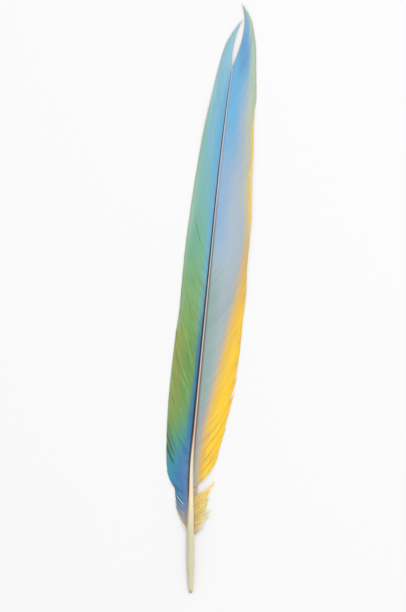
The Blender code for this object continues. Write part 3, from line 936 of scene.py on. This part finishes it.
# The highest barbs aren't shortened at random: roots, and the least share of their length that is left there
TUFT_LEAST_STRETCH = ((61, 64), (0.78, 1.08))
LEAST_HEIGHT = 0.04
# Barbules: how many on each side of a barb, where they start and end along it, their length and half width
Barbules = namedtuple("Barbules", "count first last length thin")
TUFT_BARBULES = Barbules(34, 0.12, 0.99, 1.5, 0.032)
DOWN_BARBULES = Barbules(22, 0.1, 0.98, 1.6, 0.03)
BARBULE_TAPER = ((0, 0.4, 1), (0.6, 1, 0.55))
BARBULE_LEAN, BARBULE_RISE, BARBULE_REACH = (0.45, 0.95), (-0.1, 0.3), (0.6, 1.2)
BARBULE_CURL = 0.08
BARBULE_WIDTHS = np.array([1.0, 0.8, 0.25])
TINY = 1e-9


def loose_rows(starts, turns, lengths, bends, drops, t):
    """Loose barbs: each leaves its start at its turn, in degrees, and bends evenly as it goes."""
    angle = np.radians(turns[:, None] + bends[:, None] * t[None, :])
    step = lengths[:, None] * np.gradient(t)[None, :]
    x = starts[:, 0, None] + np.cumsum(np.sin(angle) * step, axis=1)
    y = starts[:, 1, None] + np.cumsum(np.cos(angle) * step, axis=1)
    z = starts[:, 2, None] + drops[:, None] * np.sin(t * math.pi / 2)[None, :]
    return np.stack([x, y, np.maximum(z, LEAST_HEIGHT)], axis=-1)


def level_side(ahead):
    """The level direction to the right of each direction."""
    flat = np.stack([ahead[..., 1], -ahead[..., 0], np.zeros(ahead.shape[:-1])], axis=-1)
    return flat / np.maximum(np.linalg.norm(flat, axis=-1, keepdims=True), TINY)


def add_round(mesh, rows, half_wide, half_thick, **values):
    """Barbs round these middle lines, as wide and thick as given at each of their places."""
    side = level_side(np.gradient(rows, axis=1)) * half_wide[..., None]
    ridge, keel = rows.copy(), rows.copy()
    ridge[..., 2] += half_thick
    keel[..., 2] = np.maximum(keel[..., 2] - half_thick, LEAST_HEIGHT / 2)
    add_barbs(mesh, rows - side, ridge, rows + side, keel, **values)


def add_barbules(mesh, rows, random, barbules, **values):
    """Fine side hairs on both sides of each loose barb, as small closed spikes."""
    places = rows.shape[1]
    ahead = np.gradient(rows, axis=1)
    ahead /= np.maximum(np.linalg.norm(ahead, axis=-1, keepdims=True), TINY)
    at = np.linspace(barbules.first, barbules.last, barbules.count) * (places - 1)
    low = np.minimum(at.astype(int), places - 2)
    share = (at - low)[None, :, None]
    base = rows[:, low] * (1 - share) + rows[:, low + 1] * share
    along = ahead[:, low] * (1 - share) + ahead[:, low + 1] * share
    taper = np.interp(at / (places - 1), *BARBULE_TAPER)
    for sign in (1, -1):
        lean = random.uniform(*BARBULE_LEAN, base.shape[:2])[..., None]
        out = level_side(along) * sign * lean + along * np.sqrt(1 - lean**2)
        out[..., 2] += random.uniform(*BARBULE_RISE, base.shape[:2])
        reach = barbules.length * taper * random.uniform(*BARBULE_REACH, base.shape[:2])
        tips = base + out * reach[..., None]
        middles = (base + tips) / 2 - along * reach[..., None] * BARBULE_CURL
        hairs = np.stack([base, middles, tips], axis=2).reshape(-1, 3, 3)
        hairs[..., 2] = np.maximum(hairs[..., 2], LEAST_HEIGHT)
        thin = np.broadcast_to(barbules.thin * BARBULE_WIDTHS, hairs.shape[:2])
        kept = {key: np.repeat(numbers[:, low].reshape(-1, 1), 3, axis=1) for key, numbers in values.items()}
        add_round(mesh, hairs, thin, thin, **kept)


def add_loose(mesh, rows, roots, t, wide, thick, random, barbules):
    """Loose barbs along these rows, with their barbules and the values that colour both."""
    shape = rows.shape[:2]
    values = dict(
        root=np.broadcast_to(roots[:, None], shape),
        reach=np.broadcast_to(t, shape),
        tone=np.broadcast_to(random.uniform(-1, 1, len(roots))[:, None], shape),
    )
    half_wide, half_thick = (np.broadcast_to(np.interp(t, *sizes), shape) for sizes in (wide, thick))
    add_round(mesh, rows, half_wide, half_thick, **values)
    add_barbules(mesh, rows, random, barbules, **values)


def tuft_mesh(random):
    """The loose yellow barbs low on the right, in clumps that part towards their ends."""
    roots = np.arange(*TUFT.roots, TUFT_PITCH)
    count = len(roots)
    roots = roots + TUFT_PITCH * random.uniform(-TUFT_JITTER, TUFT_JITTER, count)
    t = np.linspace(0, 1, TUFT_PLACES)
    stretch = np.maximum(random.uniform(*TUFT_STRETCH, count), np.interp(roots, *TUFT_LEAST_STRETCH))
    rows = barb_rows(TUFT, roots, t[None, :] * stretch[:, None], TUFT_SPLITS)
    for axis, scatter in enumerate(TUFT_SCATTER):
        rows[..., axis] += random.normal(0, scatter, count)[:, None] * t[None, :] ** 2
    rows[..., 2] += random.uniform(*TUFT_LIFT, count)[:, None] * t[None, :]
    rows[..., 2] = np.maximum(rows[..., 2], TUFT_LEAST_HEIGHT)
    rows[:, 0, 0] -= SINK
    mesh = Mesh("tuft")
    add_loose(mesh, rows, roots, t, TUFT_WIDE, TUFT_THICK, random, TUFT_BARBULES)
    return mesh


# Loose down: on which side, the stretch of quill that it grows from, how many, and its turn, length and bend
Down = namedtuple("Down", "side roots count turn length bend")
DOWNS = [
    Down(1, (39, 50), 18, (52, 84), (5, 8.5), (-30, 20)),
    Down(1, (47, 58), 16, (54, 78), (8.5, 12.5), (-22, 14)),
    Down(1, (64, 70), 10, (24, 52), (3.0, 5.2), (-15, 15)),
    Down(-1, (40, 46.5), 7, (22, 48), (4, 7), (-12, 12)),
]


def down_mesh(random):
    """Fine pale down round the base of both vanes."""
    t = np.linspace(0, 1, DOWN_PLACES)
    mesh = Mesh("down")
    for down in DOWNS:
        roots = np.sort(random.uniform(*down.roots, down.count))
        half = shaft_width(roots) / 2 - SINK
        heights = underside(roots) + shaft_height(roots) * random.uniform(*DOWN_HEIGHTS, down.count)
        starts = np.stack([shaft_x(roots) + down.side * half, roots, heights], axis=-1)
        turns = down.side * random.uniform(*down.turn, down.count)
        lengths = random.uniform(*down.length, down.count)
        bends = down.side * random.uniform(*down.bend, down.count)
        drops = -heights * random.uniform(*DOWN_DROPS, down.count)
        rows = loose_rows(starts, turns, lengths, bends, drops, t)
        add_loose(mesh, rows, roots, t, DOWN_WIDE, DOWN_WIDE, random, DOWN_BARBULES)
    return mesh


TUFT_TONE, DOWN_TONE, DOWN_TAN = 0.07, 0.05, 0.6


def tuft_material():
    """Yellow, tan by the quill, and cream at the tips of the lowest barbs."""
    tree = Tree("tuft_barbs", roughness=0.6, sheen=0.2, specular=0.2)
    root, reach = tree.value("root"), tree.value("reach")
    colour = tree.mix(TUFT_TAN, PRIMROSE, tree.step(root, 38, 46), tree.step(reach, 0.05, 0.6))
    colour = tree.mix(colour, CREAM_FLUFF, tree.step(reach, 0.1, 0.8), tree.step(root, 54, 40))
    tone = varied(tree, tree.times(tree.value("tone"), TUFT_TONE), *TUFT_CLUMP_TONE)
    return tree.finish(tree.brightened(colour, tone))


def down_material():
    tree = Tree("down_fluff", roughness=0.7, sheen=0.3, specular=0.15)
    colour = tree.mix(CREAM, CREAM_FLUFF, tree.step(tree.value("reach"), 0.1, 0.5))
    colour = tree.mix(colour, TUFT_TAN, tree.step(tree.value("root"), 60, 64), DOWN_TAN)
    return tree.finish(tree.brightened(colour, tree.times(tree.value("tone"), DOWN_TONE)))


RING_DEPTH = 1e-5


def place_in_frame():
    """Where the drawing's origin, the middle of the quill's end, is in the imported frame."""
    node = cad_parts[NODE]
    corners = np.array([corner.co for corner in node.data.vertices], float)
    low = corners.min(0)
    end_ring = corners[corners[:, 1] < low[1] + RING_DEPTH]
    return np.array([(end_ring[:, 0].min() + end_ring[:, 0].max()) / 2, low[1], low[2]])


# Photograph's frame, in pixels, and where the feather lies in it
FRAME_WIDE, FRAME_HIGH = 406, 612
MM_A_PIXEL = 0.682
QUILL_END_PIXEL = (190.9, 592.5)
FEATHER_TURN = 4.5
CAMERA_HEIGHT = 1.6
SENSOR = 36.0


def on_feather(pixel_x, pixel_y):
    """A pixel of the photograph as a point of the drawing, in plan."""
    right, up = pixel_x - QUILL_END_PIXEL[0], QUILL_END_PIXEL[1] - pixel_y
    turn = math.radians(FEATHER_TURN)
    x = right * math.cos(turn) - up * math.sin(turn)
    y = right * math.sin(turn) + up * math.cos(turn)
    return np.array([x * MM_A_PIXEL, y * MM_A_PIXEL, 0.0])


def add_camera(offset):
    """The camera looks straight down, turned as the photograph is."""
    middle = on_feather(FRAME_WIDE / 2, FRAME_HIGH / 2) * MM + offset
    data = bpy.data.cameras.new("camera")
    data.sensor_width = SENSOR
    data.lens = SENSOR * CAMERA_HEIGHT / (FRAME_HIGH * MM_A_PIXEL * MM)
    camera = placed("camera", data)
    camera.location = (middle[0], middle[1], CAMERA_HEIGHT)
    camera.rotation_euler = (0.0, 0.0, math.radians(FEATHER_TURN))
    bpy.context.scene.camera = camera


FLOOR_SIZE, FLOOR_DROP = 6.0, 0.00004
KEY_PLACE, KEY_SIZE, KEY_POWER, KEY_COLOUR = (1.1, 0.9, 2.6), 1.4, 31.0, (1.0, 0.995, 0.98)
SKY_COLOUR, SKY_STRENGTH = (0.99, 0.99, 1.0, 1.0), 0.97


def add_floor():
    data = bpy.data.meshes.new("floor")
    half = FLOOR_SIZE / 2
    corners = [(x, y, -FLOOR_DROP) for x, y in ((-half, -half), (half, -half), (half, half), (-half, half))]
    data.from_pydata(corners, [], [(0, 1, 2, 3)])
    tree = Tree("floor_paper", roughness=0.9, specular=0.0)
    data.materials.append(tree.finish(PAPER))
    floor = placed("floor", data)


def add_lights():
    """An even sky, and one lamp from the right and the tip's end."""
    world = bpy.data.worlds.new("studio")
    bpy.context.scene.world = world
    world.use_nodes = True
    background = world.node_tree.nodes["Background"]
    background.inputs["Color"].default_value = SKY_COLOUR
    background.inputs["Strength"].default_value = SKY_STRENGTH
    data = bpy.data.lights.new("key", "AREA")
    data.size = KEY_SIZE
    data.energy = KEY_POWER
    data.color = KEY_COLOUR
    light = placed("key", data)
    light.location = KEY_PLACE
    light.rotation_euler = (-Vector(KEY_PLACE)).to_track_quat("-Z", "Y").to_euler()
    bpy.context.scene.view_settings.view_transform = "Standard"


def main():
    offset = place_in_frame()
    random = np.random.default_rng(SEED)
    under = vane_under_material()
    pieces = [
        (shaft_mesh(), [shaft_material()], "shaft"),
        (vane_mesh("left_vane", LEFT_VANE, random), [left_vane_material(), under], "vane"),
        (vane_mesh("right_vane", RIGHT_VANE, random), [right_vane_material(), under], "vane"),
        (tuft_mesh(random), [tuft_material(), tuft_material()], "down"),
        (down_mesh(random), [down_material(), down_material()], "down"),
    ]
    for mesh, materials, slot in pieces:
        piece = mesh.make(materials, offset)
        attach(piece, BODY)
        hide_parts(NODE)
    add_floor()
    add_lights()
    add_camera(offset)


main()
